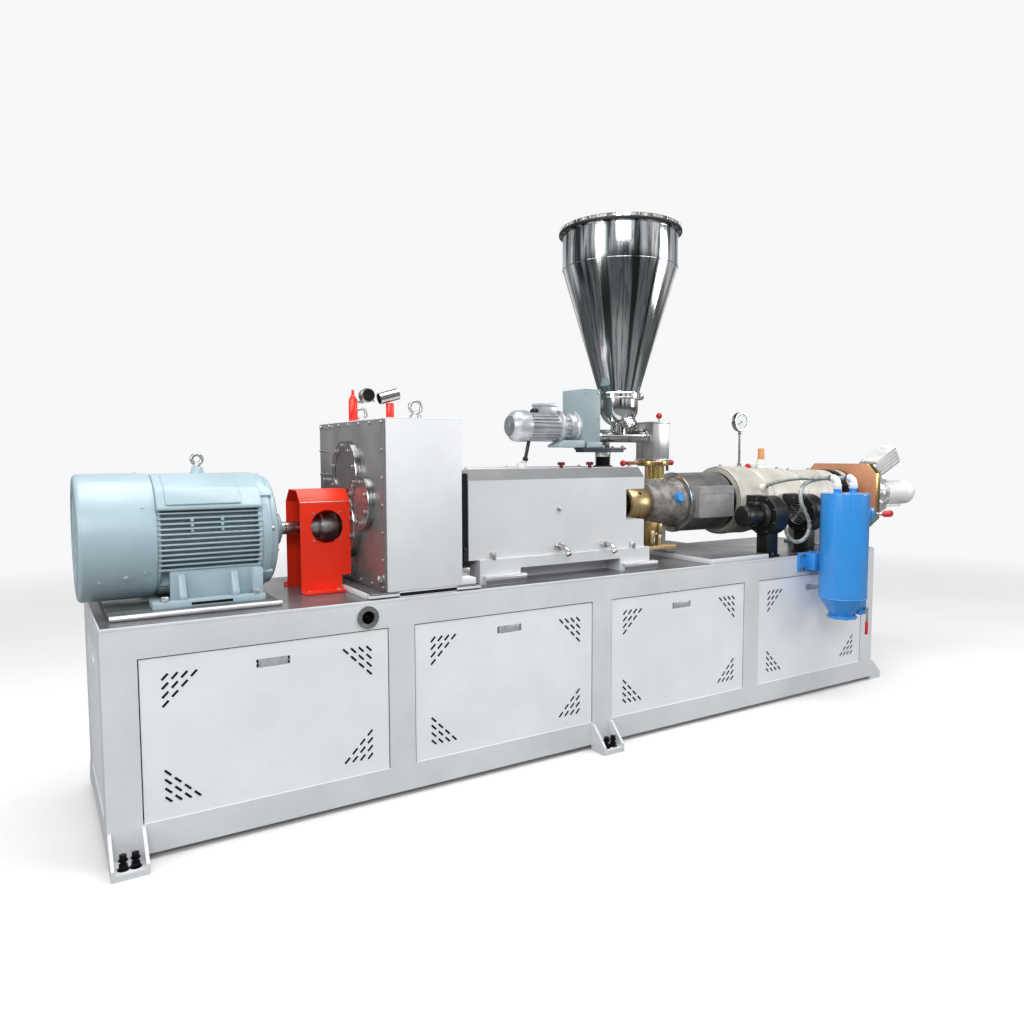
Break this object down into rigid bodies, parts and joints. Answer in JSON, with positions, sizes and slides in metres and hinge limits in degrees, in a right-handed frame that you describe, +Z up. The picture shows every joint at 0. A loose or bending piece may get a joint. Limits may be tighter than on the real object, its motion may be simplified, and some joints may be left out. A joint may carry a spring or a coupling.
{
  "type": "plastic extruder",
  "caption": "Plastic extruder: finned motor, gearbox and distribution box drive screws in a heated barrel fed from a cone hopper, on a long panelled frame.",
  "frame": {"origin": "middle of the machine's footprint at floor level", "axes": "+X along the machine from the motor to the die head, +Y from the operator side to the back, +Z up"},
  "size_m": [4.676, 1.09, 2.338],
  "materials": {
    "frame_paint": "satin",
    "deck_paint": "gloss",
    "panel_paint": "satin",
    "machined_steel": "machined",
    "motor_paint": "satin",
    "base_paint": "satin",
    "dark_iron": "machined",
    "guard_orange": "satin",
    "gearbox_paint": "satin",
    "dark_plate": "gloss",
    "cover_steel": "satin",
    "brass": "machined",
    "cast_heater": "cast",
    "clad_heater": "satin",
    "black_paint": "gloss",
    "gauge_case": "satin",
    "zinc_plate": "zinc plated",
    "stainless": "mirror",
    "case_paint": "satin",
    "feeder_motor_paint": "gloss",
    "pot_paint": "gloss",
    "lever_sleeve": "matte",
    "hose": "matte",
    "head_copper": "gloss",
    "foil": "foil",
    "cutter_paint": "gloss"
  },
  "bodies": {
    "machine": {"bottom_rails": "frame_paint", "top_rails": "frame_paint", "cross_rails": "frame_paint", "frame_posts": "frame_paint", "foot_brackets": "frame_paint", "deck": "deck_paint", "front_panels": "panel_paint", "rear_panels": "panel_paint", "end_panels": "panel_paint", "machined_seats": "machined_steel", "lifting_tube": "machined_steel", "screw_shafts": "machined_steel", "drain_pipes": "machined_steel", "gearbox_fittings": "machined_steel", "motor_body": "motor_paint", "fan_cowl": "motor_paint", "motor_end_bell": "motor_paint", "motor_base": "base_paint", "barrel": "dark_iron", "connecting_flange": "dark_iron", "coupling_guard": "guard_orange", "gearbox_housing": "gearbox_paint", "gearbox_end_plate": "dark_plate", "bearing_covers": "dark_plate", "distribution_box": "cover_steel", "pedestal": "cover_steel", "coupling_ring": "brass", "neck_bracket": "brass", "heater_zone_1": "cast_heater", "rear_heaters": "clad_heater", "barrel_stands": "clad_heater", "vent_port": "clad_heater", "cooling_blowers": "black_paint", "feeder_stand": "black_paint", "motor_strut": "black_paint", "hose_socket": "black_paint", "pressure_gauge": "gauge_case", "feed_throat": "zinc_plate", "feed_duct": "stainless", "feed_bowl": "stainless", "hopper_shell": "stainless", "hopper_lid": "stainless", "chain_case": "case_paint", "feeder_motor": "feeder_motor_paint", "vacuum_pot": "pot_paint", "pot_bracket": "pot_paint", "vent_hose": "hose", "pump_hose": "hose", "head_plate": "head_copper", "cutter_hood": "foil", "cutter_motor": "cutter_paint"},
    "drive_line": {"drive_shaft": "machined_steel", "shaft_coupling": "dark_iron"},
    "drain_valve": {"drain_lever": "lever_sleeve"},
    "side_valve": {"side_lever": "lever_sleeve"}
  },
  "joints": [
    {"name": "drive_spin", "type": "hinge", "parent": "machine", "child": "drive_line", "pos_m": [-1.535, 0.097, 0.98], "axis": [1, 0, 0], "continuous": true},
    {"name": "drain_valve_turn", "type": "hinge", "parent": "machine", "child": "drain_valve", "pos_m": [1.058, -0.506, 0.486], "axis": [0, -1, 0], "range_deg": [0, 90]},
    {"name": "side_valve_turn", "type": "hinge", "parent": "machine", "child": "side_valve", "pos_m": [1.206, -0.448, 0.945], "axis": [0, 1, 0], "range_deg": [0, 90]}
  ]
}
